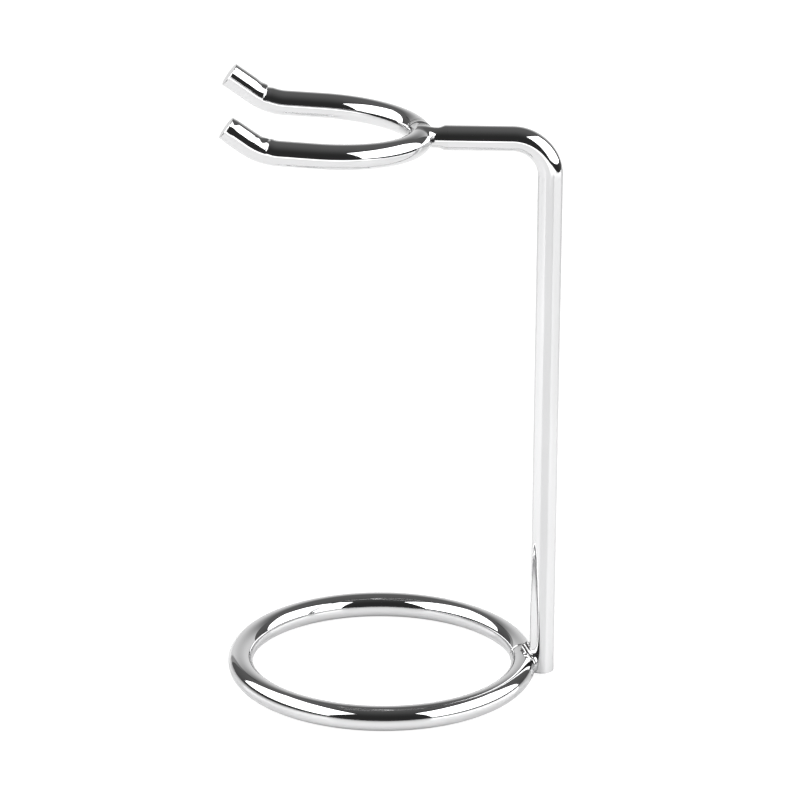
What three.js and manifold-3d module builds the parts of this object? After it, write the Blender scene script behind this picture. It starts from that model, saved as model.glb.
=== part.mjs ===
// A brush stand of chromed steel rod: a ring to stand on, a post that bends over into an arm,
// and a fork on the arm's end that holds a shaving brush by its neck. Three welds join the rods.
// Millimetres and degrees. +Z is up, +X points from the ring's centre to the post, and the
// fork opens towards -X. The origin is at the middle of the object's box, on the standing surface.

import * as THREE from 'three';
import { mergeVertices } from 'three/addons/utils/BufferGeometryUtils.js';
import Module from 'manifold-3d';

// Rod stock
const ROD_RADIUS = 2.5;
const ROD_SIDES = 20;
const WELD_GAP = 0.3;

// Base ring: a rod rolled to a circle, its two ends butted beside the post
const RING_RADIUS = 28.7;
const RING_STEPS = 72;
const SEAM_ANGLE = 7.5;
const SEAM_THICKNESS = 0.6;
const SEAM_RISE = 0.1;

// Post and arm: one rod, its foot let into the ring's outer side
const POST_X = 32.4;
const POST_FOOT_Z = 1.1;
const ARM_Z = 114.2;
const ARM_BEND_RADIUS = 7.5;
const ARM_BEND_STEPS = 12;

// Fork: one rod bent to a U, tilted up a little, with both ends bent up
const FORK_APEX_X = 6.8;
const FORK_TILT = 3.25;
const FORK_BOW_LENGTH = 19.5;
const FORK_HALF_WIDTH = 16;
const FORK_BOW_STEPS = 14;
const TINE_LENGTH = 7.4;
const TINE_TOE_IN = 0.66;
const TIP_ANGLE = 32.25;
const TIP_BEND_RADIUS = 12.1;
const TIP_BEND_STEPS = 5;
const FRONT_TIP_LENGTH = 4.9;
const BACK_TIP_LENGTH = 6.2;

// Fork weld: a necked collar between the arm's end and the fork
const NECK_START = 1;
const NECK_LENGTH = 4.7;
const NECK_WAIST_RADIUS = 2.05;
const NECK_END_RADIUS = 2.45;
const NECK_STEPS = 8;

// Base weld: a bead in the groove between the ring's top and the post
const BEAD_RADIUS = 1.4;
const BEAD_SIDES = 12;
const BEAD_STEPS = 10;
const BEAD_HALF_ANGLE = 52;

// A polygon with a flat side to each of the four main directions stands on its flats, so the
// ring's centreline lies at the height of a flat, not at that of a corner.
const RING_Z = ROD_RADIUS * Math.cos(Math.PI / ROD_SIDES);

const X_AXIS = new THREE.Vector3(1, 0, 0);
const Y_AXIS = new THREE.Vector3(0, 1, 0);
const Z_AXIS = new THREE.Vector3(0, 0, 1);

const radians = THREE.MathUtils.degToRad;
const vector = (x, y, z) => new THREE.Vector3(x, y, z);

const wasm = await Module();
wasm.setup();

const chrome = new THREE.MeshStandardMaterial({ color: 0xd9dcde, roughness: 0.06, metalness: 1 });
const weldChrome = new THREE.MeshStandardMaterial({ color: 0xcfd2d4, roughness: 0.14, metalness: 1 });

/** An arc of a circle or ellipse: centre + along * cos(angle) + across * sin(angle). */
class Arc extends THREE.Curve {
  constructor(centre, along, across, from, to) {
    super();
    Object.assign(this, { centre, along, across, from, to });
  }

  getPoint(t) {
    const angle = THREE.MathUtils.lerp(this.from, this.to, t);
    return this.centre.clone()
      .addScaledVector(this.along, Math.cos(angle))
      .addScaledVector(this.across, Math.sin(angle));
  }

  getTangent(t) {
    const angle = THREE.MathUtils.lerp(this.from, this.to, t);
    const turned = this.across.clone().multiplyScalar(Math.cos(angle));
    return turned.addScaledVector(this.along, -Math.sin(angle))
      .multiplyScalar(Math.sign(this.to - this.from))
      .normalize();
  }
}

/** A rod's centreline: runs end to end, each of them cut into its own number of steps. */
class Centreline extends THREE.Curve {
  constructor(runs) {
    super();
    this.runs = runs;
    this.steps = runs.reduce((sum, run) => sum + run.steps, 0);
  }

  locate(u) {
    let left = Math.round(u * this.steps);
    let k = 0;
    while (left > this.runs[k].steps) {
      left -= this.runs[k].steps;
      k += 1;
    }
    return { curve: this.runs[k].curve, t: left / this.runs[k].steps };
  }

  getPointAt(u) {
    const { curve, t } = this.locate(u);
    return curve.getPoint(t);
  }

  getTangentAt(u) {
    const { curve, t } = this.locate(u);
    return curve.getTangent(t);
  }
}

/** A run for a Centreline. */
function run(curve, steps = 1) {
  return { curve, steps };
}

function straight(from, to) {
  return run(new THREE.LineCurve3(from, to));
}

/** A round section of the given radius, with a flat side square to each axis. */
function section(radius, sides = ROD_SIDES) {
  const step = 2 * Math.PI / sides;
  const corners = [];
  for (let i = 0; i < sides; i += 1) {
    const angle = (i + 0.5) * step;
    corners.push(new THREE.Vector2(radius * Math.cos(angle), radius * Math.sin(angle)));
  }
  return new THREE.Shape(corners);
}

/** The solid that a round section sweeps along a centreline, with flat ends. */
function sweep(centreline, radius, sides) {
  return new THREE.ExtrudeGeometry(section(radius, sides), {
    steps: centreline.steps,
    extrudePath: centreline,
  });
}

function toManifold(geometry) {
  const bare = geometry.clone();
  bare.deleteAttribute('normal');
  bare.deleteAttribute('uv');
  const merged = mergeVertices(bare, 1e-4);
  return new wasm.Manifold(new wasm.Mesh({
    numProp: 3,
    vertProperties: new Float32Array(merged.attributes.position.array),
    triVerts: new Uint32Array(merged.index.array),
  }));
}

function toGeometry(manifold) {
  const mesh = manifold.getMesh();
  const geometry = new THREE.BufferGeometry();
  geometry.setAttribute('position', new THREE.BufferAttribute(mesh.vertProperties, 3));
  geometry.setIndex(new THREE.BufferAttribute(mesh.triVerts, 1));
  geometry.computeVertexNormals();
  return geometry;
}

/** A geometry with other geometries cut out of it. */
function cut(geometry, ...tools) {
  const left = tools.reduce((rest, tool) => rest.subtract(toManifold(tool)), toManifold(geometry));
  return toGeometry(left);
}

function named(name, geometry, material) {
  const mesh = new THREE.Mesh(geometry, material);
  mesh.name = name;
  return mesh;
}

/** The base ring's centreline, from one side of the seam all the way round to the other. */
function ringCentreline() {
  const slot = (SEAM_THICKNESS / 2 + WELD_GAP) / RING_RADIUS;
  const from = radians(SEAM_ANGLE) + slot;
  const to = radians(SEAM_ANGLE) + 2 * Math.PI - slot;
  const along = vector(RING_RADIUS, 0, 0);
  const across = vector(0, RING_RADIUS, 0);
  return new Centreline([run(new Arc(vector(0, 0, RING_Z), along, across, from, to), RING_STEPS)]);
}

/** The butt weld between the ring's two ends: a slice of rod, a little proud on top. */
function seamCentreline() {
  const outward = X_AXIS.clone().applyAxisAngle(Z_AXIS, radians(SEAM_ANGLE));
  const middle = outward.clone().multiplyScalar(RING_RADIUS).setZ(RING_Z + SEAM_RISE);
  const half = Z_AXIS.clone().cross(outward).multiplyScalar(SEAM_THICKNESS / 2);
  return new Centreline([straight(middle.clone().sub(half), middle.clone().add(half))]);
}

/** Up the post, round the bend and along the arm to the fork weld. */
function postArmCentreline() {
  const bendZ = ARM_Z - ARM_BEND_RADIUS;
  const bendX = POST_X - ARM_BEND_RADIUS;
  const bend = new Arc(
    vector(bendX, 0, bendZ),
    vector(ARM_BEND_RADIUS, 0, 0),
    vector(0, 0, ARM_BEND_RADIUS),
    0,
    Math.PI / 2,
  );
  return new Centreline([
    straight(vector(POST_X, 0, POST_FOOT_Z), vector(POST_X, 0, bendZ)),
    run(bend, ARM_BEND_STEPS),
    straight(vector(bendX, 0, ARM_Z), vector(FORK_APEX_X + NECK_START + NECK_LENGTH + WELD_GAP, 0, ARM_Z)),
  ]);
}

/**
 * One tine of the fork, from the apex out to its tip. The fork lies in its own plane: the apex
 * at the origin, the tines towards -X, and side +1 or -1 for the tine at +Y or -Y.
 */
function tineRuns(side, tipLength) {
  const bow = new Arc(
    vector(-FORK_BOW_LENGTH, 0, 0),
    vector(FORK_BOW_LENGTH, 0, 0),
    vector(0, side * FORK_HALF_WIDTH, 0),
    0,
    Math.PI / 2,
  );
  const bowEnd = bow.getPoint(1);
  const forward = X_AXIS.clone().negate().applyAxisAngle(Z_AXIS, side * radians(TINE_TOE_IN));
  const tineEnd = bowEnd.clone().addScaledVector(forward, TINE_LENGTH);
  const tipBend = new Arc(
    tineEnd.clone().addScaledVector(Z_AXIS, TIP_BEND_RADIUS),
    Z_AXIS.clone().multiplyScalar(-TIP_BEND_RADIUS),
    forward.clone().multiplyScalar(TIP_BEND_RADIUS),
    0,
    radians(TIP_ANGLE),
  );
  const bendEnd = tipBend.getPoint(1);
  const tipEnd = bendEnd.clone().addScaledVector(tipBend.getTangent(1), tipLength);
  return [
    run(bow, FORK_BOW_STEPS),
    straight(bowEnd, tineEnd),
    run(tipBend, TIP_BEND_STEPS),
    straight(bendEnd, tipEnd),
  ];
}

/** The same runs followed the other way. */
function reversed(runs) {
  return runs.toReversed().map(({ curve, steps }) => {
    if (curve instanceof Arc) {
      return run(new Arc(curve.centre, curve.along, curve.across, curve.to, curve.from), steps);
    }
    return run(new THREE.LineCurve3(curve.v2, curve.v1), steps);
  });
}

function forkCentreline() {
  return new Centreline([
    ...reversed(tineRuns(-1, FRONT_TIP_LENGTH)),
    ...tineRuns(1, BACK_TIP_LENGTH),
  ]);
}

/** Turns a shape from the fork's own plane to its place on the stand. */
function placeFork(object) {
  object.rotateOnAxis(Y_AXIS, radians(FORK_TILT));
  object.position.set(FORK_APEX_X, 0, ARM_Z);
  return object;
}

/** The fork's weld: a collar with a waist, turned about the arm's axis. */
function neckGeometry() {
  const profile = [new THREE.Vector2(0, 0)];
  for (let i = 0; i <= NECK_STEPS; i += 1) {
    const t = i / NECK_STEPS;
    const swell = (2 * t - 1) ** 2;
    const radius = THREE.MathUtils.lerp(NECK_WAIST_RADIUS, NECK_END_RADIUS, swell);
    profile.push(new THREE.Vector2(radius, t * NECK_LENGTH));
  }
  profile.push(new THREE.Vector2(0, NECK_LENGTH));
  return new THREE.LatheGeometry(profile, ROD_SIDES)
    .rotateZ(-Math.PI / 2)
    .translate(FORK_APEX_X + NECK_START, 0, ARM_Z);
}

/** The groove where the post's side meets the ring's top, as seen round the post. */
class Groove extends THREE.Curve {
  getPoint(t) {
    const angle = THREE.MathUtils.lerp(-1, 1, t) * radians(BEAD_HALF_ANGLE);
    const x = POST_X - ROD_RADIUS * Math.cos(angle);
    const y = ROD_RADIUS * Math.sin(angle);
    const fromRing = Math.hypot(x, y) - RING_RADIUS;
    return vector(x, y, RING_Z + Math.sqrt(ROD_RADIUS ** 2 - fromRing ** 2));
  }
}

const ringPath = ringCentreline();
const postPath = postArmCentreline();
const forkPath = forkCentreline();
const groove = new Centreline([run(new Groove(), BEAD_STEPS)]);

const postAndGap = sweep(postPath, ROD_RADIUS + WELD_GAP);
const ringAndGap = sweep(ringPath, ROD_RADIUS + WELD_GAP);
const forkAndGap = sweep(forkPath, ROD_RADIUS + WELD_GAP);
const forkPlace = placeFork(new THREE.Object3D());
forkPlace.updateMatrix();
forkAndGap.applyMatrix4(forkPlace.matrix);

const stand = new THREE.Group();
stand.add(
  named('base_ring', cut(sweep(ringPath, ROD_RADIUS), postAndGap), chrome),
  named('ring_seam', sweep(seamCentreline(), ROD_RADIUS), weldChrome),
  named('post_arm', sweep(postPath, ROD_RADIUS), chrome),
  named('base_weld', cut(sweep(groove, BEAD_RADIUS, BEAD_SIDES), ringAndGap, postAndGap), weldChrome),
  placeFork(named('fork', sweep(forkPath, ROD_RADIUS), chrome)),
  named('fork_weld', cut(neckGeometry(), forkAndGap), weldChrome),
);

// The ring, post and fork are placed about the ring's centre; the whole is then moved so that
// the middle of its box stands on the origin.
const box = new THREE.Box3().setFromObject(stand);
stand.position.x = -(box.min.x + box.max.x) / 2;

const object = new THREE.Group();
object.add(stand);

export default object;
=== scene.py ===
"""A chromed rod stand for a shaving brush, in a plain white studio.

Metres. +Z is up, the base ring stands on z = 0, the post is at +X and the fork opens to -X.
swept_rod() makes the bent rods and the ring's seam, and level_set() makes the two welds out of
the rods' own distance fields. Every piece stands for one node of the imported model.
"""

import itertools
import math

import bpy
import numpy as np
from mathutils import Matrix, Vector

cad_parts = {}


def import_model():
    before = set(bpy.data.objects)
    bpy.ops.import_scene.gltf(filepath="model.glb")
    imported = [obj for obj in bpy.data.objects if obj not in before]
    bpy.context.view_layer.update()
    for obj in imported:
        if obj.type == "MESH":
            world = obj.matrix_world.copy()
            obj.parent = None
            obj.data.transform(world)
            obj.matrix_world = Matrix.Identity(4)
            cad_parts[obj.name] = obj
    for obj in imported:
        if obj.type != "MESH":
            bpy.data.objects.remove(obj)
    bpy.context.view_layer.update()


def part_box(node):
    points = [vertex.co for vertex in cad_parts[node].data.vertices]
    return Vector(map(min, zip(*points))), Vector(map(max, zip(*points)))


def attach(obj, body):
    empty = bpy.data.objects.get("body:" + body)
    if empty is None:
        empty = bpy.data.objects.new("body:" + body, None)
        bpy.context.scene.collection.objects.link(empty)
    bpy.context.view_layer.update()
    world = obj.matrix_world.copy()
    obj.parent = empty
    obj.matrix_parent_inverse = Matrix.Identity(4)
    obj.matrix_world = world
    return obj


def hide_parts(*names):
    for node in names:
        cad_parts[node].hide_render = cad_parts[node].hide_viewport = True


MM = 0.001
TINY = 1e-9

# Rod stock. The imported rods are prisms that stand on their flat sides.
ROD_RADIUS = 2.5 * MM
PACKED_ROD_SIDES = 20
ROD_SIDES = 96
ROD_STEP = 0.3 * MM
SHORTEST_STEP = 1e-7
EDGE_ROUND = 0.16 * MM
EDGE_STEPS = 5

# Base ring and its seam. Angles round the rod are counted from its top.
RING_RADIUS = 28.7 * MM
SEAM_ANGLE = math.radians(7.5)
SEAM_REACH = 1.6 * MM
SEAM_STEP = 0.04 * MM
SEAM_HEIGHT = 0.1 * MM
SEAM_WIDTH = 0.16 * MM
SEAM_LEDGE = 0.05 * MM
SEAM_LEDGE_RISE = (-1.3 * MM, -0.2 * MM)
SEAM_LEDGE_DROP = (-0.1 * MM, 0.1 * MM)
SEAM_WANDER = 0.12 * MM
SEAM_WANDER_TURN = 0.6
SEAM_FINE_WANDER = 0.05 * MM
SEAM_MEAN = 0.55
SEAM_SWING = 0.45
SEAM_TURN = 0.5

# Post and arm, with painted shade in the groove at the post's foot
POST_FROM_RING = 32.4 * MM
POST_FOOT = 1.1 * MM
ARM_BEND = 7.5 * MM
POST_SHADE = 0.8
POST_SHADE_SIDE = 0.8 * MM
POST_SHADE_FADE = (0.28 * MM, 0.1 * MM)

# Fork. A crease's place is along the rod, 0 in the middle of the tip's bend.
APEX_FROM_RING = 6.8 * MM
FORK_TILT = math.radians(3.25)
BOW_LENGTH = 19.5 * MM
BOW_WIDTH = 16 * MM
TINE_LENGTH = 7.4 * MM
TOE_IN = math.radians(0.66)
TIP_ANGLE = math.radians(32.25)
TIP_BEND = 12.1 * MM
FRONT_TIP = 4.9 * MM
BACK_TIP = 6.2 * MM
FRONT_SWAGE = 0.12 * MM
FRONT_SWAGE_LENGTH = 1.7 * MM
BEND_STEP = 0.07 * MM
FRONT_CREASE = dict(
    at=0.55 * MM,
    depth=0.3 * MM,
    narrow=10,
    recovery=0.35 * MM,
    lip=0.13 * MM,
    fold=0.3 * MM,
)
BACK_CREASE = dict(at=-1.75 * MM, depth=0.27 * MM, narrow=1, recovery=1.5 * MM, lip=0, fold=0)
CREASE_WIDTH = 0.25 * MM
FOLD_LENGTH = 3.1 * MM
FOLD_BACK = 0.3 * MM
FLANK_REACH = math.radians(80)
LIP_LENGTH = 0.8 * MM
SWELL_HEIGHT = 0.08 * MM
SWELL_LENGTH = 1.7 * MM
SWELL_NARROW = 6
DIP_DEPTH = 0.1 * MM
DIP_WIDTH = 0.7 * MM

# Welds. HIDDEN is how far a weld lies below a rod that it blends into.
WELD_CELL = 0.11 * MM
SLOPE_NUDGE = 0.002 * MM
SURFACE_STEPS = 5
SLOPE_FLOOR = 0.05
BOW_STEPS = 6
BOW_SINE_LIMIT = 0.9
BOW_CURVE_FLOOR = 1e-8
HIDDEN = 0.007 * MM

# Weld of the arm to the fork: a pinched neck, a speck of spatter and a lip
NECK_LENGTH = 5.0 * MM
NECK_WAIST_AT = 3.4 * MM
NECK_PINCH = 0.48 * MM
NECK_THINNING = 0.05 * MM
NECK_NARROW = 6
NECK_COVER = 1.2 * HIDDEN
NECK_SINK = 2 * HIDDEN
NECK_TAIL = (0.2 * MM, 1.2 * MM)
PINCH_LEAN = math.radians(21)
COLLAR_REACH = 4.2 * MM
COLLAR_LOW = (-4, -4.6, -3.4)
COLLAR_HIGH = (6.6, 4.6, 3.4)
UPPER_FILLET = 1.5 * MM
LOWER_FILLET = 0.45 * MM
FILLET_FROM = 0.3 * MM
FILLET_TO = 1.4 * MM
SPATTER_CENTRE = Vector((2.4, -2.2, 0.22)) * MM
SPATTER_RADIUS = 0.44 * MM
SPATTER_FILLET = 0.15 * MM
# Painted shade: a black spot painted round the speck of spatter
SPATTER_SHADE = (0.66 * MM, 0.48 * MM)
LIP_OFFSET = 2.5 * MM
LIP_SLANT = 0.15
LIP_COVER = 3.9 * MM
LIP_HEIGHT = 0.05 * MM
LIP_WIDTH = 0.2 * MM
LIP_STEP = 0.19 * MM
LIP_STEP_RISE = (-1.6 * MM, 1.2 * MM)
LIP_STEP_EDGE = (0, 0.5 * MM)
LIP_STEP_FACE = (-1.5 * MM, -0.1 * MM)
LIP_ROD_STEP = 1.3

# Weld of the post to the ring: a bead, long on BEAD_AXIS, that ripples along BEAD_ACROSS
BEAD_CENTRE = Vector((-2.45, 0.3, 4.95)) * MM
BEAD_REACH = Vector((2.2, 1.5, 1.25)) * MM
BEAD_AXIS = Vector((0.6, -0.65, -0.46))
BEAD_ACROSS = Vector((0.855, 0.075, 0.515))
BEAD_FILLET = 0.4 * MM
BEAD_LIMIT = 4.2 * MM
BEAD_LOW = (-4.6, -4.6, -4.5)
BEAD_HIGH = (4.6, 4.6, 4.6)
# Painted shade in the valleys between the ripples, on the bead only
BEAD_SHADE = (0.25 * MM, 0.15 * MM)
RIPPLE_SPACING = 0.7 * MM
RIPPLE_HEIGHT = 0.1 * MM
RIPPLE_BEND = 0.12 * MM
RIPPLE_BEND_TURN = 1.3
RIPPLE_SHADE = (-0.2, -0.8)

# Chrome. The noises stretch along the stock, and each is spread over NOISE_RANGE.
ROD_CHROME = dict(colour=(0.64, 0.64, 0.645), roughness=0.035, grain=4e-6, waviness=1.2e-5)
WELD_CHROME = dict(colour=(0.62, 0.62, 0.62), roughness=0.05, grain=4e-6, waviness=2e-5)
DRAWN_SCALE = (1500, 1500, 40)
HAZE_SCALE = (260, 260, 120)
TINT_SCALE = (90, 90, 45)
WAVE_SCALE = (330, 330, 110)
NOISE_RANGE = (0.3, 0.7)
HAZE_LEAST = 0.4
TINT_LEAST = 0.955
# Black painted into the plate as painted shade
PAINTED_SHADE_COLOUR = (0.015, 0.015, 0.015, 1)

# Camera, about the ring's centre on the ground
CAMERA_DISTANCE = 1.0832
CAMERA_PITCH = math.radians(21.03)
CAMERA_AZIMUTH = math.radians(1.24)
CAMERA_ROLL = math.radians(0.46)
CAMERA_AIM_RIGHT = 3.253 * MM
CAMERA_AIM_UP = 59.062 * MM
CAMERA_LENS = 244.56
CAMERA_SENSOR = 36
CAMERA_REACH = 10

# Studio. A fade goes smoothly from low at start to high at stop.
PAPER_ROUGHNESS = 0.9
FLOOR_HALF = Vector((2.0, 2.0))
FLOOR_WHITE = 0.2
FLOOR_GLOW = 0.93
TABLE_HALF = Vector((0.62, 0.8))
TABLE_DROP = 0.05 * MM
TABLE_WHITE = 0.86
TABLE_SPECULAR = 0.1
TABLE_ROUGHNESS = 0.1
# The table's glow in front is painted light, and its white is painted greyer backward and to the
# sides as painted shade
TABLE_GLOW = dict(start=-0.42, stop=-0.3, low=1.2, high=0)
TABLE_BACKWARD_SHADE = dict(start=0.02, stop=0.4, low=TABLE_WHITE, high=0.85 * TABLE_WHITE)
TABLE_SIDEWAYS_SHADE = dict(start=0.09, stop=0.26, low=1, high=0.82)
SOFTBOX_DISTANCE = 1.25
SOFTBOX_RADIANCE = 3.8
LEFT_SOFTBOX = dict(azimuth=-100.3, aside=-0.08, foot=0.32, width=2.1, height=1.45, lean=20.7)
RIGHT_SOFTBOX = dict(azimuth=108.1, aside=-0.22, foot=0.14, width=2.16, height=1.64, lean=5.7)
BACKDROP_DISTANCE = 0.75
BACKDROP_WIDTH = 1.16
BACKDROP_HEIGHT = 0.75
# The backdrop's glow is painted light: it fades upward and is dimmer at its left edge
BACKDROP_UPWARD = dict(start=0.15, stop=BACKDROP_HEIGHT, low=0.9, high=0.2)
BACKDROP_RIGHTWARD = dict(start=-0.48, stop=-0.43, low=0.42, high=1)
ROOM_LIGHT_SIDE = (0, 0.72, 0.69)
ROOM_SHADE = dict(start=-0.3, stop=1.3, low=0.035, high=0.175)
CAMERA_WHITE = 1.1


def array(*values):
    return np.array(values, float)


def unit(vectors):
    """The vectors at length 1."""
    return vectors / np.linalg.norm(vectors, axis=-1, keepdims=True)


# ---------------------------------------------------------------- centrelines


def straight(start, end):
    """Points and tangents of a straight run."""
    count = max(2, math.ceil(np.linalg.norm(end - start) / ROD_STEP) + 1)
    points = start + np.linspace(0, 1, count)[:, None] * (end - start)
    return points, np.repeat(unit(end - start)[None], count, axis=0)


def arc(centre, along, across, start, stop, step=ROD_STEP):
    """Points and tangents of centre + along * cos(angle) + across * sin(angle)."""
    reach = max(np.linalg.norm(along), np.linalg.norm(across)) * abs(stop - start)
    angle = np.linspace(start, stop, math.ceil(reach / step) + 1)[:, None]
    points = centre + along * np.cos(angle) + across * np.sin(angle)
    tangents = (across * np.cos(angle) - along * np.sin(angle)) * math.copysign(1, stop - start)
    return points, unit(tangents)


def joined(*runs):
    """One run out of several, each of which starts where the one before it ends."""
    points = np.concatenate([runs[0][0]] + [run[0][1:] for run in runs[1:]])
    tangents = np.concatenate([runs[0][1]] + [run[1][1:] for run in runs[1:]])
    return points, tangents


def reversed_run(run):
    return run[0][::-1], -run[1][::-1]


def carried_normals(tangents, first):
    """Section directions that turn with the centreline and never twist about it."""
    normals = np.empty_like(tangents)
    carried = first
    for i, tangent in enumerate(tangents):
        carried = carried - tangent * (carried @ tangent)
        carried = carried / np.linalg.norm(carried)
        normals[i] = carried
    return normals


# ---------------------------------------------------------------- meshes


def make_piece(name, node, slot, material, points, normals, faces, stock, painted_shade=None):
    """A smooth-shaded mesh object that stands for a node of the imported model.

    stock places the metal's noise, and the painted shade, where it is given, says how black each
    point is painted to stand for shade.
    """
    mesh = bpy.data.meshes.new(name)
    mesh.from_pydata(points.tolist(), [], faces)
    mesh.shade_smooth()
    mesh.normals_split_custom_set_from_vertices(normals.tolist())
    attribute = mesh.attributes.new("stock", "FLOAT_VECTOR", "POINT")
    attribute.data.foreach_set("vector", stock.astype(np.float32).ravel())
    if painted_shade is not None:
        attribute = mesh.attributes.new("painted_shade", "FLOAT", "POINT")
        attribute.data.foreach_set("value", painted_shade.astype(np.float32))
    mesh.materials.append(material)
    piece = bpy.data.objects.new(name, mesh)
    bpy.context.scene.collection.objects.link(piece)
    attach(piece, "root")
    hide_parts(node)
    return piece


def rounded_end(point, outward, normal, radius):
    """Sections of the rounded edge of a rod's cut end, from the rim of its face inwards."""
    lean = np.linspace(math.pi / 2, 0, EDGE_STEPS + 1)
    centres = point - np.outer(EDGE_ROUND * (1 - np.sin(lean)), outward)
    radii = radius - EDGE_ROUND * (1 - np.cos(lean))
    return centres, np.repeat(normal[None], len(lean), axis=0), radii, lean


def tube_faces(sections, closed):
    """The quads between the rod's sections, all the way round if it is closed."""
    faces = []
    for i in range(sections if closed else sections - 1):
        row = i * ROD_SIDES
        following = (i + 1) % sections * ROD_SIDES
        for j in range(ROD_SIDES):
            k = (j + 1) % ROD_SIDES
            faces.append((row + j, row + k, following + k, following + j))
    return faces


def cap_faces(first, centre, turn):
    """The fan between a centre point and the section that starts at first."""
    return [(centre, first + j, first + (j + turn) % ROD_SIDES) for j in range(ROD_SIDES)]


def swept_rod(path, first_normal, relief=None, closed=False):
    """A round rod along a path. relief(length, angle) is added to its radius.

    Returns points, normals, faces and each point's place on the straight, unbent stock.
    """
    centres, tangents = path
    across = carried_normals(tangents, first_normal)
    radii = np.full(len(centres), ROD_RADIUS)
    lean = np.zeros(len(centres))
    if closed:
        centres, tangents, across = centres[:-1], tangents[:-1], across[:-1]
        radii, lean = radii[:-1], lean[:-1]
    else:
        start = rounded_end(centres[0], -tangents[0], across[0], ROD_RADIUS)
        end = rounded_end(centres[-1], tangents[-1], across[-1], ROD_RADIUS)
        rows = len(start[0])
        tangents = np.concatenate(
            [np.repeat(tangents[:1], rows, 0), tangents[1:-1], np.repeat(tangents[-1:], rows, 0)]
        )
        centres = np.concatenate([start[0], centres[1:-1], end[0][::-1]])
        across = np.concatenate([start[1], across[1:-1], end[1][::-1]])
        radii = np.concatenate([start[2], radii[1:-1], end[2][::-1]])
        lean = np.concatenate([-start[3], lean[1:-1], end[3][::-1]])
    steps = np.linalg.norm(np.diff(centres, axis=0), axis=1)
    length = np.concatenate([[0], np.cumsum(np.maximum(steps, SHORTEST_STEP))])
    angle = np.arange(ROD_SIDES) * 2 * math.pi / ROD_SIDES
    cos, sin = np.cos(angle)[None, :, None], np.sin(angle)[None, :, None]
    beside = np.cross(tangents, across)
    radial = cos * across[:, None] + sin * beside[:, None]
    around = cos * beside[:, None] - sin * across[:, None]
    reach = np.repeat(radii[:, None], ROD_SIDES, axis=1)
    normals = radial
    if relief is not None:
        raised = relief(length[:, None], angle[None, :])
        reach = reach + raised
        along_slope = np.gradient(raised, length, axis=0)
        around_slope = (np.roll(raised, -1, 1) - np.roll(raised, 1, 1)) / (2 * angle[1] * reach)
        normals = unit(
            radial - along_slope[..., None] * tangents[:, None] - around_slope[..., None] * around
        )
    points = centres[:, None] + reach[..., None] * radial
    lean = lean[:, None, None]
    normals = np.cos(lean) * normals + np.sin(lean) * tangents[:, None]
    along = np.repeat(length[:, None], ROD_SIDES, axis=1)
    stock = np.stack([reach * np.cos(angle), reach * np.sin(angle), along], -1)
    sections = len(centres)
    faces = tube_faces(sections, closed)
    points, normals, stock = (a.reshape(-1, 3) for a in (points, normals, stock))
    if not closed:
        last = sections * ROD_SIDES
        faces += cap_faces(0, last, -1)
        faces += cap_faces(last - ROD_SIDES, last + 1, 1)
        points = np.vstack([points, centres[0], centres[-1]])
        normals = np.vstack([normals, -tangents[0], tangents[-1]])
        stock = np.vstack([stock, array(0, 0, 0), array(0, 0, length[-1])])
    return points, normals, faces, stock


def slope_of(field, points):
    """Gradient of a field by central differences."""
    slopes = np.empty_like(points)
    for axis in range(3):
        step = np.zeros(3)
        step[axis] = SLOPE_NUDGE
        slopes[:, axis] = (field(points + step) - field(points - step)) / (2 * SLOPE_NUDGE)
    return slopes


def level_set(field, low, high):
    """Closed mesh of the surface where field is 0; the field is negative inside.

    One point in each cell that the surface crosses is moved onto the surface, and the four
    cells round each grid edge that it crosses are joined by a face. Returns what swept_rod()
    does; a weld isn't drawn, so its points are their own places on the stock.
    """
    counts = np.ceil((high - low) / WELD_CELL).astype(int) + 1
    grid = low + WELD_CELL * np.stack(np.meshgrid(*map(np.arange, counts), indexing="ij"), -1)
    inside = field(grid.reshape(-1, 3)).reshape(counts) < 0
    corners = [
        inside[tuple(slice(o, n - 1 + o) for o, n in zip(offset, counts))]
        for offset in itertools.product((0, 1), repeat=3)
    ]
    crossed = np.logical_or.reduce(corners) & ~np.logical_and.reduce(corners)
    number = np.full(crossed.shape, -1)
    number[crossed] = np.arange(crossed.sum())
    points = low + WELD_CELL * (np.argwhere(crossed) + 0.5)
    for _ in range(SURFACE_STEPS):
        slopes = slope_of(field, points)
        steep = np.maximum((slopes**2).sum(1), SLOPE_FLOOR)
        move = np.clip(field(points) / steep, -WELD_CELL / 2, WELD_CELL / 2)
        points = points - move[:, None] * slopes
    faces = []
    for axis in range(3):
        lower = np.take(inside, range(counts[axis] - 1), axis)
        upper = np.take(inside, range(1, counts[axis]), axis)
        edges = np.argwhere(lower != upper)
        outward = lower[tuple(edges.T)]
        side, other = np.eye(3, dtype=int)[[(axis + 1) % 3, (axis + 2) % 3]]
        ring = [edges - side - other, edges - other, edges, edges - side]
        quads = np.stack([number[tuple(cells.T)] for cells in ring], 1)
        quads[~outward] = quads[~outward][:, ::-1]
        faces += quads.tolist()
    return points, unit(slope_of(field, points)), faces, points


# ---------------------------------------------------------------- distance fields


def smooth_union(first, second, reach):
    """Union of two distance fields with a fillet where both are within reach."""
    near = np.maximum(reach - np.abs(first - second), 0) / reach
    return np.minimum(first, second) - near * near * reach / 4


def bump_profile(distance, width):
    """A bell of height 1 about distance 0."""
    return np.exp(-((distance / width) ** 2))


def ease(value, start, stop):
    """0 before start, 1 past stop and a smooth step between them, whichever is the larger."""
    t = np.clip((value - start) / (stop - start), 0, 1)
    return t * t * (3 - 2 * t)


def ring_distance(points, centre):
    """Distance from the base ring."""
    x, y, z = (points - centre).T
    return np.hypot(np.hypot(x, y) - RING_RADIUS, z) - ROD_RADIUS


def post_distance(points, post_x):
    """Distance from the post, cut off below at its foot."""
    x, y, z = points.T
    return np.maximum(np.hypot(x - post_x, y) - ROD_RADIUS, POST_FOOT - z)


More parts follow.
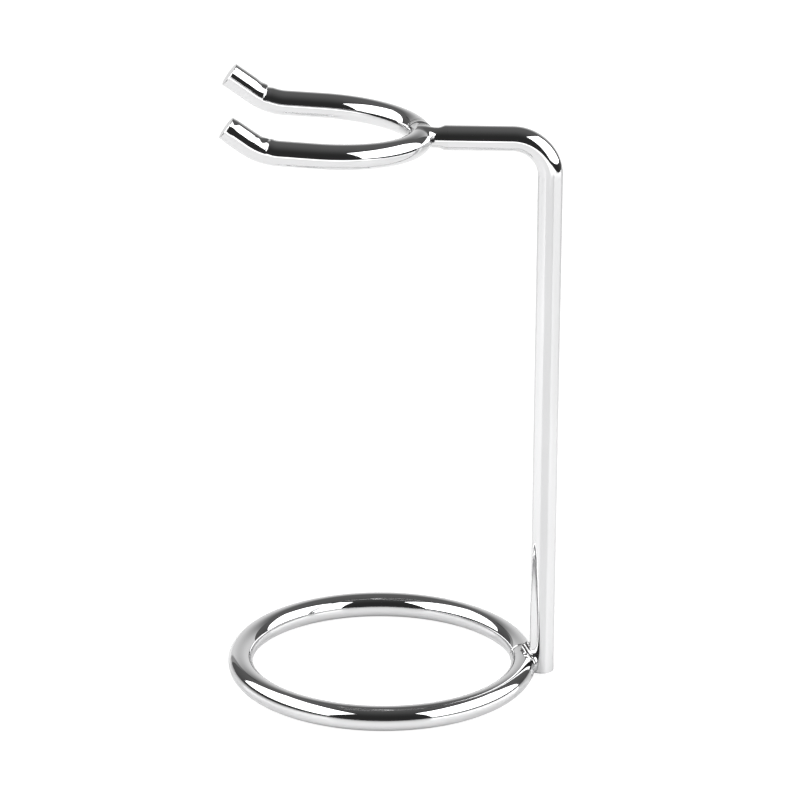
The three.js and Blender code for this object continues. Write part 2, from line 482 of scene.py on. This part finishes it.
def bow_distance(points):
    """Distance from the fork's bow, in the fork's own frame: apex at the origin."""
    x, y, z = points.T
    angle = np.arcsin(np.clip(y / BOW_WIDTH, -BOW_SINE_LIMIT, BOW_SINE_LIMIT))
    for _ in range(BOW_STEPS):
        cos, sin = np.cos(angle), np.sin(angle)
        dx, dy = BOW_LENGTH * (cos - 1) - x, BOW_WIDTH * sin - y
        first = -BOW_LENGTH * sin * dx + BOW_WIDTH * cos * dy
        second = (BOW_LENGTH * sin) ** 2 + (BOW_WIDTH * cos) ** 2
        second = second - BOW_LENGTH * cos * dx - BOW_WIDTH * sin * dy
        angle = angle - first / np.maximum(second, BOW_CURVE_FLOOR)
    dx, dy = BOW_LENGTH * (np.cos(angle) - 1) - x, BOW_WIDTH * np.sin(angle) - y
    return np.sqrt(dx * dx + dy * dy + z * z) - ROD_RADIUS


def neck_distance(points):
    """Distance from the necked end of the arm, which lies along +X from the fork's apex."""
    x, y, z = points.T
    thin = 1 - ease(x, NECK_WAIST_AT, NECK_LENGTH)
    reach = np.hypot(y, z) + TINY
    upright = (z * math.cos(PINCH_LEAN) + y * math.sin(PINCH_LEAN)) / reach
    sunk = NECK_SINK * ease(x, NECK_LENGTH + NECK_TAIL[0], NECK_LENGTH + NECK_TAIL[1])
    waist = thin * (NECK_THINNING + NECK_PINCH * upright**NECK_NARROW)
    radius = ROD_RADIUS + NECK_COVER - sunk - waist
    return np.maximum(reach - radius, -x)


def ellipsoid_distance(points, reach):
    """About the distance from an ellipsoid at the origin that reaches so far on each axis."""
    scaled = points / reach
    size = np.linalg.norm(scaled, axis=1) + TINY
    return size * (size - 1) / (np.linalg.norm(scaled / reach, axis=1) + TINY)


# ---------------------------------------------------------------- pieces


def base_ring(centre, material):
    """The plain ring that the stand rests on."""
    path = arc(centre, array(RING_RADIUS, 0, 0), array(0, RING_RADIUS, 0), 0, 2 * math.pi)
    mesh = swept_rod(path, array(0, 0, 1), closed=True)
    return make_piece("base_ring_rod", "base_ring", "chrome_rod", material, *mesh)


def ring_seam(centre, material):
    """The flash where the ring's two ends are butted, a ridge with a low ledge on one side."""
    spread = SEAM_REACH / RING_RADIUS
    path = arc(
        centre,
        array(RING_RADIUS, 0, 0),
        array(0, RING_RADIUS, 0),
        SEAM_ANGLE - spread,
        SEAM_ANGLE + spread,
        SEAM_STEP,
    )

    def relief(length, angle):
        place = length - SEAM_REACH
        wander = SEAM_WANDER * np.sin(2 * angle + SEAM_WANDER_TURN)
        wander = wander + SEAM_FINE_WANDER * np.sin(5 * angle)
        upper = SEAM_MEAN + SEAM_SWING * np.cos(angle + SEAM_TURN)
        ridge = SEAM_HEIGHT * upper * bump_profile(place - wander, SEAM_WIDTH)
        ledge = SEAM_LEDGE * upper * ease(place, *SEAM_LEDGE_RISE)
        ledge = ledge * ease(-place, *SEAM_LEDGE_DROP)
        return ridge + ledge - 2 * HIDDEN

    mesh = swept_rod(path, array(0, 0, 1), relief)
    return make_piece("ring_seam_flash", "ring_seam", "chrome_weld", material, *mesh)


def post_arm(post_x, arm_z, arm_end_x, material):
    """The upright post, bent over into the arm, with painted shade where its foot meets the ring.
    """
    bend_x, bend_z = post_x - ARM_BEND, arm_z - ARM_BEND
    path = joined(
        straight(array(post_x, 0, POST_FOOT), array(post_x, 0, bend_z)),
        arc(
            array(bend_x, 0, bend_z),
            array(ARM_BEND, 0, 0),
            array(0, 0, ARM_BEND),
            0,
            math.pi / 2,
        ),
        straight(array(bend_x, 0, arm_z), array(arm_end_x, 0, arm_z)),
    )
    mesh = swept_rod(path, array(0, 1, 0))
    x, _, z = mesh[0].T
    # Painted shade: black painted on the post's foot beside the ring, where shade falls
    by_ring = ease(x - post_x, POST_SHADE_SIDE, -POST_SHADE_SIDE)
    painted_shade = POST_SHADE * (by_ring * ease(z - POST_FOOT, *POST_SHADE_FADE))
    return make_piece("post_arm_rod", "post_arm", "chrome_rod", material, *mesh, painted_shade)


def tine(side, tip_length):
    """One half of the fork in its own frame, from the apex to the tip."""
    bow = arc(
        array(-BOW_LENGTH, 0, 0),
        array(BOW_LENGTH, 0, 0),
        array(0, side * BOW_WIDTH, 0),
        0,
        math.pi / 2,
    )
    forward = array(-math.cos(TOE_IN), -side * math.sin(TOE_IN), 0)
    bow_end = bow[0][-1]
    tine_end = bow_end + TINE_LENGTH * forward
    up = array(0, 0, 1)
    bend = arc(
        tine_end + TIP_BEND * up, -TIP_BEND * up, TIP_BEND * forward, 0, TIP_ANGLE, BEND_STEP
    )
    bend_end = bend[0][-1]
    tip = straight(bend_end, bend_end + tip_length * bend[1][-1])
    return joined(bow, straight(bow_end, tine_end), bend, tip)


def crease(place, angle, at, depth, narrow, recovery, lip, fold):
    """Relief of the fold on the inside of a tip's bend.

    place is 0 mid-bend and negative on the tip. The rod swells towards the fold at `at`, drops
    by depth in a notch that recovers beyond it and ends in a low lip, and its flanks are
    pressed in by fold.
    """
    inner = np.maximum(np.cos(angle), 0)
    swell = SWELL_HEIGHT * ease(place, at - SWELL_LENGTH, at)
    swell = swell - DIP_DEPTH * bump_profile(place - at + SWELL_LENGTH, DIP_WIDTH)
    past = ease(place, at, at + CREASE_WIDTH)
    recovered = at + CREASE_WIDTH + recovery
    notch = depth * (1 - ease(place, at + CREASE_WIDTH, recovered))
    raised = lip * bump_profile(place - recovered, LIP_LENGTH)
    lean = np.minimum(np.arccos(inner), FLANK_REACH)
    flank = fold * np.sin(math.pi * lean / FLANK_REACH) ** 2
    flank = flank * np.clip((place - at) / FOLD_LENGTH + 1, 0, 1) ** 2
    flank = flank * np.clip(1 - (place - at) / FOLD_BACK, 0, 1)
    after = raised * inner - notch * inner**narrow
    return (1 - past) * swell * inner**SWELL_NARROW + past * after - flank


def lip_step(along, to_lip):
    """How far the fork's round end is worn down below the lip of its weld."""
    return LIP_STEP * ease(along, *LIP_STEP_RISE) * ease(to_lip, *LIP_STEP_EDGE)


def fork(apex, turn, material):
    """The U of rod with upturned tips; turn tilts it about its apex."""
    points, tangents = joined(reversed_run(tine(-1, FRONT_TIP)), tine(1, BACK_TIP))
    path = (apex + points @ turn.T, tangents @ turn.T)

    total = np.linalg.norm(np.diff(points, axis=0), axis=1).sum()
    half_bend = TIP_BEND * TIP_ANGLE / 2

    def relief(length, angle):
        swage = -FRONT_SWAGE * ease(-length, -FRONT_SWAGE_LENGTH, 0) + 0 * angle
        front = length - FRONT_TIP - half_bend
        back = total - length - BACK_TIP - half_bend
        from_apex = length - (total + FRONT_TIP - BACK_TIP) / 2
        folds = crease(front, angle, **FRONT_CREASE) + crease(back, angle, **BACK_CREASE)
        return swage + folds - LIP_ROD_STEP * lip_step(from_apex, LIP_COVER - from_apex)

    mesh = swept_rod(path, turn @ array(0, 0, 1), relief)
    return make_piece("fork_rod", "fork", "chrome_rod", material, *mesh)


def fork_weld(apex, turn, material):
    """The neck on the arm's end, blended into the fork, and the lip of weld behind it."""

    def field(points):
        placed = points - apex
        x, y, _ = placed.T
        to_lip = LIP_OFFSET - y + LIP_SLANT * x
        lip = LIP_HEIGHT * bump_profile(to_lip, LIP_WIDTH)
        worn = lip_step(y, to_lip) * ease(x, *LIP_STEP_FACE)
        bow = bow_distance(placed @ turn) - lip + worn
        rise = ease(placed[:, 2], FILLET_FROM, FILLET_TO)
        fillet = LOWER_FILLET + (UPPER_FILLET - LOWER_FILLET) * rise
        body = smooth_union(bow, neck_distance(placed), fillet) + HIDDEN
        spatter = np.linalg.norm(placed - array(*SPATTER_CENTRE), axis=1) - SPATTER_RADIUS
        body = smooth_union(body, spatter, SPATTER_FILLET)
        limit = np.maximum(np.abs(y) - COLLAR_REACH, x - NECK_LENGTH - NECK_TAIL[1])
        return np.maximum(body, limit)

    low, high = array(*COLLAR_LOW) * MM, array(*COLLAR_HIGH) * MM
    mesh = level_set(field, apex + low, apex + high)
    # Painted shade: black painted round the speck of spatter
    from_spatter = np.linalg.norm(mesh[0] - apex - array(*SPATTER_CENTRE), axis=1)
    painted_shade = ease(from_spatter, *SPATTER_SHADE)
    return make_piece("fork_weld_collar", "fork_weld", "chrome_weld", material, *mesh, painted_shade)


def base_weld(centre, post_x, material):
    """The rippled bead in the groove between the ring's top and the post.

    Painted shade lies in the valleys between its ripples.
    """
    bead_centre = array(post_x, 0, 0) + array(*BEAD_CENTRE)
    reach = array(*BEAD_REACH)
    axis = unit(array(*BEAD_AXIS))
    across = array(*BEAD_ACROSS)
    across = unit(across - axis * (across @ axis))
    frame = np.stack([axis, across, np.cross(axis, across)], 1)

    def ripples(placed):
        bend = RIPPLE_BEND * np.sin(placed[:, 0] / MM * RIPPLE_BEND_TURN)
        return np.cos(2 * math.pi * (placed[:, 1] + bend) / RIPPLE_SPACING)

    def field(points):
        placed = (points - bead_centre) @ frame
        bead = ellipsoid_distance(placed, reach) - RIPPLE_HEIGHT * ripples(placed)
        ring, post = ring_distance(points, centre), post_distance(points, post_x)
        rods = smooth_union(ring, post, BEAD_FILLET)
        body = smooth_union(rods, bead, BEAD_FILLET) + HIDDEN
        limit = np.linalg.norm(points - bead_centre, axis=1) - BEAD_LIMIT
        return np.maximum(body, limit)

    low, high = array(*BEAD_LOW) * MM, array(*BEAD_HIGH) * MM
    mesh = level_set(field, bead_centre + low, bead_centre + high)
    placed = (mesh[0] - bead_centre) @ frame
    # Painted shade: black painted into the valleys between the ripples
    on_bead = ease(np.abs(ellipsoid_distance(placed, reach)), *BEAD_SHADE)
    painted_shade = on_bead * ease(ripples(placed), *RIPPLE_SHADE)
    return make_piece("base_weld_bead", "base_weld", "chrome_weld", material, *mesh, painted_shade)


# ---------------------------------------------------------------- materials


def chrome(name, colour, roughness, grain, waviness):
    """Bright plate, blackened by the piece's painted shade.

    grain is the depth of the draw lines and waviness that of slow waves.
    """
    material = bpy.data.materials.new(name)
    material.use_nodes = True
    nodes, links = material.node_tree.nodes, material.node_tree.links
    surface = nodes["Principled BSDF"]
    surface.inputs["Metallic"].default_value = 1.0
    stock = nodes.new("ShaderNodeAttribute")
    stock.attribute_name = "stock"

    def noise(scale, detail):
        mapping = nodes.new("ShaderNodeMapping")
        mapping.inputs["Scale"].default_value = scale
        texture = nodes.new("ShaderNodeTexNoise")
        texture.inputs["Scale"].default_value = 1.0
        texture.inputs["Detail"].default_value = detail
        links.new(stock.outputs["Vector"], mapping.inputs["Vector"])
        links.new(mapping.outputs["Vector"], texture.inputs["Vector"])
        return texture.outputs["Fac"]

    def mapped(value, low, high):
        node = nodes.new("ShaderNodeMapRange")
        node.inputs["From Min"].default_value = NOISE_RANGE[0]
        node.inputs["From Max"].default_value = NOISE_RANGE[1]
        node.inputs["To Min"].default_value = low
        node.inputs["To Max"].default_value = high
        links.new(value, node.inputs["Value"])
        return node.outputs["Result"]

    drawn = noise(DRAWN_SCALE, 2)
    haze = nodes.new("ShaderNodeMath")
    haze.operation = "ADD"
    blotches = mapped(noise(HAZE_SCALE, 3), roughness * HAZE_LEAST, roughness)
    links.new(blotches, haze.inputs[0])
    links.new(mapped(drawn, 0, roughness), haze.inputs[1])
    links.new(haze.outputs["Value"], surface.inputs["Roughness"])
    tint = nodes.new("ShaderNodeMix")
    tint.data_type = "RGBA"
    tint.inputs["A"].default_value = (*(TINT_LEAST * c for c in colour), 1)
    tint.inputs["B"].default_value = (*colour, 1)
    links.new(mapped(noise(TINT_SCALE, 2), 0, 1), tint.inputs["Factor"])
    # Painted shade: the plate's colour is blackened where shade falls
    painted_shade = nodes.new("ShaderNodeAttribute")
    painted_shade.attribute_name = "painted_shade"
    painted_shade_mix = nodes.new("ShaderNodeMix")
    painted_shade_mix.data_type = "RGBA"
    painted_shade_mix.inputs["B"].default_value = PAINTED_SHADE_COLOUR
    links.new(painted_shade.outputs["Fac"], painted_shade_mix.inputs["Factor"])
    links.new(tint.outputs["Result"], painted_shade_mix.inputs["A"])
    links.new(painted_shade_mix.outputs["Result"], surface.inputs["Base Color"])

    waves = nodes.new("ShaderNodeBump")
    waves.inputs["Distance"].default_value = waviness
    waves.inputs["Strength"].default_value = 1.0
    links.new(noise(WAVE_SCALE, 1), waves.inputs["Height"])
    lines = nodes.new("ShaderNodeBump")
    lines.inputs["Distance"].default_value = grain
    lines.inputs["Strength"].default_value = 1.0
    links.new(drawn, lines.inputs["Height"])
    links.new(waves.outputs["Normal"], lines.inputs["Normal"])
    links.new(lines.outputs["Normal"], surface.inputs["Normal"])
    return material


def paper(name, white, glow):
    """Matt white paper that may also glow."""
    material = bpy.data.materials.new(name)
    material.use_nodes = True
    surface = material.node_tree.nodes["Principled BSDF"]
    surface.inputs["Base Color"].default_value = (white, white, white, 1)
    surface.inputs["Roughness"].default_value = PAPER_ROUGHNESS
    surface.inputs["Specular IOR Level"].default_value = 0.0
    surface.inputs["Emission Color"].default_value = (1, 1, 1, 1)
    surface.inputs["Emission Strength"].default_value = glow
    return material


# ---------------------------------------------------------------- studio and camera


def rectangle(name, centre, right, up, material):
    """A flat stage card with half-sides right and up."""
    mesh = bpy.data.meshes.new(name)
    corners = [centre - right - up, centre + right - up, centre + right + up, centre - right + up]
    mesh.from_pydata([tuple(c) for c in corners], [], [(0, 1, 2, 3)])
    mesh.materials.append(material)
    card = bpy.data.objects.new(name, mesh)
    bpy.context.scene.collection.objects.link(card)
    return card


def place_axes(tree):
    """Node outputs X, Y and Z of the place that is shaded."""
    place = tree.nodes.new("ShaderNodeNewGeometry")
    split = tree.nodes.new("ShaderNodeSeparateXYZ")
    tree.links.new(place.outputs["Position"], split.inputs["Vector"])
    return split.outputs


def smooth_fade(tree, value, start, stop, low, high):
    """A node output that goes smoothly from low at start to high at stop."""
    fade = tree.nodes.new("ShaderNodeMapRange")
    fade.interpolation_type = "SMOOTHSTEP"
    fade.inputs["From Min"].default_value = start
    fade.inputs["From Max"].default_value = stop
    fade.inputs["To Min"].default_value = low
    fade.inputs["To Max"].default_value = high
    tree.links.new(value, fade.inputs["Value"])
    return fade.outputs["Result"]


def product(tree, one, other):
    """A node output that is the product of two others."""
    times = tree.nodes.new("ShaderNodeMath")
    times.operation = "MULTIPLY"
    tree.links.new(one, times.inputs[0])
    tree.links.new(other, times.inputs[1])
    return times.outputs["Value"]


def level_card(name, half, height, material):
    """A stage card that lies flat."""
    right, up = Vector((half.x, 0, 0)), Vector((0, half.y, 0))
    return rectangle(name, Vector((0, 0, height)), right, up, material)


def make_floor():
    """The pale floor, lit from below as a light table is, so that shadows on it stay faint."""
    floor = level_card("floor", FLOOR_HALF, 0, paper("floor_paper", FLOOR_WHITE, FLOOR_GLOW))
    floor.visible_glossy = False
    floor.visible_diffuse = False
    floor.visible_shadow = False
    return floor


def make_table():
    """The glossy white sheet that the chrome mirrors, with a painted glow in front and painted
    shade that greys it further away and to the sides.
    """
    material = paper("table_paper", TABLE_WHITE, 0)
    tree = material.node_tree
    surface = tree.nodes["Principled BSDF"]
    axes = place_axes(tree)
    # Painted light in front, painted shade further back and to the sides
    glow = smooth_fade(tree, axes["Y"], **TABLE_GLOW)
    shaded_backward = smooth_fade(tree, axes["Y"], **TABLE_BACKWARD_SHADE)
    aside = tree.nodes.new("ShaderNodeMath")
    aside.operation = "ABSOLUTE"
    tree.links.new(axes["X"], aside.inputs[0])
    shaded_sideways = smooth_fade(tree, aside.outputs["Value"], **TABLE_SIDEWAYS_SHADE)
    tree.links.new(glow, surface.inputs["Emission Strength"])
    tree.links.new(product(tree, shaded_backward, shaded_sideways), surface.inputs["Base Color"])
    surface.inputs["Specular IOR Level"].default_value = TABLE_SPECULAR
    surface.inputs["Roughness"].default_value = TABLE_ROUGHNESS
    table = level_card("table", TABLE_HALF, -TABLE_DROP, material)
    table.visible_camera = False
    return table


def make_softbox(name, azimuth, aside, foot, width, height, lean):
    """A panel of light; azimuth is 0 behind the stand and +90 degrees at +X."""
    azimuth, lean = math.radians(azimuth), math.radians(lean)
    facing = Vector((math.sin(azimuth), math.cos(azimuth), 0))
    side = Vector((math.cos(azimuth), -math.sin(azimuth), 0))
    upward = Vector((0, 0, math.cos(lean))) - facing * math.sin(lean)
    light = bpy.data.lights.new(name, "AREA")
    light.shape = "RECTANGLE"
    light.size = width
    light.size_y = height
    light.energy = SOFTBOX_RADIANCE * math.pi * width * height
    box = bpy.data.objects.new(name, light)
    turned = Matrix((-side, upward, upward.cross(side))).transposed()
    centre = facing * SOFTBOX_DISTANCE + side * aside + upward * height / 2
    centre.z += foot
    box.matrix_world = Matrix.Translation(centre) @ turned.to_4x4()
    box.visible_camera = False
    bpy.context.scene.collection.objects.link(box)
    return box


def make_backdrop():
    """A pale card behind the stand, only seen mirrored in the chrome, whose glow is painted light
    that fades upward and is dimmer at its left edge.
    """
    material = bpy.data.materials.new("backdrop_glow")
    material.use_nodes = True
    tree = material.node_tree
    tree.nodes.clear()
    axes = place_axes(tree)
    # Painted light: the glow fades upward and is dimmer at the left edge
    upward = smooth_fade(tree, axes["Z"], **BACKDROP_UPWARD)
    rightward = smooth_fade(tree, axes["X"], **BACKDROP_RIGHTWARD)
    glow = tree.nodes.new("ShaderNodeEmission")
    output = tree.nodes.new("ShaderNodeOutputMaterial")
    tree.links.new(product(tree, upward, rightward), glow.inputs["Strength"])
    tree.links.new(glow.outputs["Emission"], output.inputs["Surface"])
    centre = Vector((0, BACKDROP_DISTANCE, BACKDROP_HEIGHT / 2))
    card = rectangle(
        "backdrop",
        centre,
        Vector((BACKDROP_WIDTH / 2, 0, 0)),
        Vector((0, 0, BACKDROP_HEIGHT / 2)),
        material,
    )
    card.visible_camera = False
    return card


def make_world():
    """A dark room, lighter behind and above the stand, that the camera sees as plain white."""
    world = bpy.data.worlds.new("studio")
    bpy.context.scene.world = world
    world.use_nodes = True
    nodes, links = world.node_tree.nodes, world.node_tree.links
    nodes.clear()
    direction = nodes.new("ShaderNodeTexCoord")
    towards = nodes.new("ShaderNodeVectorMath")
    towards.operation = "DOT_PRODUCT"
    towards.inputs[1].default_value = ROOM_LIGHT_SIDE
    links.new(direction.outputs["Generated"], towards.inputs[0])
    shade = smooth_fade(world.node_tree, towards.outputs["Value"], **ROOM_SHADE)
    room = nodes.new("ShaderNodeBackground")
    room.inputs["Color"].default_value = (1, 1, 1, 1)
    seen = nodes.new("ShaderNodeBackground")
    seen.inputs["Strength"].default_value = CAMERA_WHITE
    seen.inputs["Color"].default_value = (1, 1, 1, 1)
    path = nodes.new("ShaderNodeLightPath")
    choose = nodes.new("ShaderNodeMixShader")
    output = nodes.new("ShaderNodeOutputWorld")
    links.new(shade, room.inputs["Strength"])
    links.new(path.outputs["Is Camera Ray"], choose.inputs["Fac"])
    links.new(room.outputs["Background"], choose.inputs[1])
    links.new(seen.outputs["Background"], choose.inputs[2])
    links.new(choose.outputs["Shader"], output.inputs["Surface"])


def make_camera(ring_x):
    """A long lens in front of the stand, looking down at it a little from its right."""
    cos_p, sin_p = math.cos(CAMERA_PITCH), math.sin(CAMERA_PITCH)
    cos_a, sin_a = math.cos(CAMERA_AZIMUTH), math.sin(CAMERA_AZIMUTH)
    right = Vector((cos_a, sin_a, 0))
    back = Vector((sin_a * cos_p, -cos_a * cos_p, sin_p))
    up = back.cross(right)
    rolled_right = math.cos(CAMERA_ROLL) * right + math.sin(CAMERA_ROLL) * up
    rolled_up = back.cross(rolled_right)
    aim = Vector((ring_x, 0, CAMERA_AIM_UP)) + right * CAMERA_AIM_RIGHT
    data = bpy.data.cameras.new("camera")
    data.lens = CAMERA_LENS
    data.sensor_width = CAMERA_SENSOR
    data.clip_end = CAMERA_REACH
    camera = bpy.data.objects.new("camera", data)
    turned = Matrix((rolled_right, rolled_up, back)).transposed()
    camera.matrix_world = Matrix.Translation(aim + back * CAMERA_DISTANCE) @ turned.to_4x4()
    bpy.context.scene.collection.objects.link(camera)
    bpy.context.scene.camera = camera


def main():
    """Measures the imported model, builds the stand on it and sets up the studio."""
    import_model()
    flat = ROD_RADIUS * math.cos(math.pi / PACKED_ROD_SIDES)
    post_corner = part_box("post_arm")[1]
    post_x, arm_z = post_corner.x - flat, post_corner.z - flat
    ring_x = post_x - POST_FROM_RING
    ring_centre = array(ring_x, 0, ROD_RADIUS)
    apex = array(ring_x + APEX_FROM_RING, 0, arm_z)
    turn = np.array(Matrix.Rotation(FORK_TILT, 3, "Y"))

    rod_chrome = chrome("rod_chrome", **ROD_CHROME)
    weld_chrome = chrome("weld_chrome", **WELD_CHROME)

    make_camera(ring_x)
    base_ring(ring_centre, rod_chrome)
    ring_seam(ring_centre, weld_chrome)
    post_arm(post_x, arm_z, apex[0] + NECK_LENGTH, rod_chrome)
    base_weld(ring_centre, post_x, weld_chrome)
    fork(apex, turn, rod_chrome)
    fork_weld(apex, turn, weld_chrome)

    make_floor()
    make_table()
    make_softbox("left_softbox", **LEFT_SOFTBOX)
    make_softbox("right_softbox", **RIGHT_SOFTBOX)
    make_backdrop()
    make_world()
    bpy.context.scene.view_settings.view_transform = "Standard"


main()
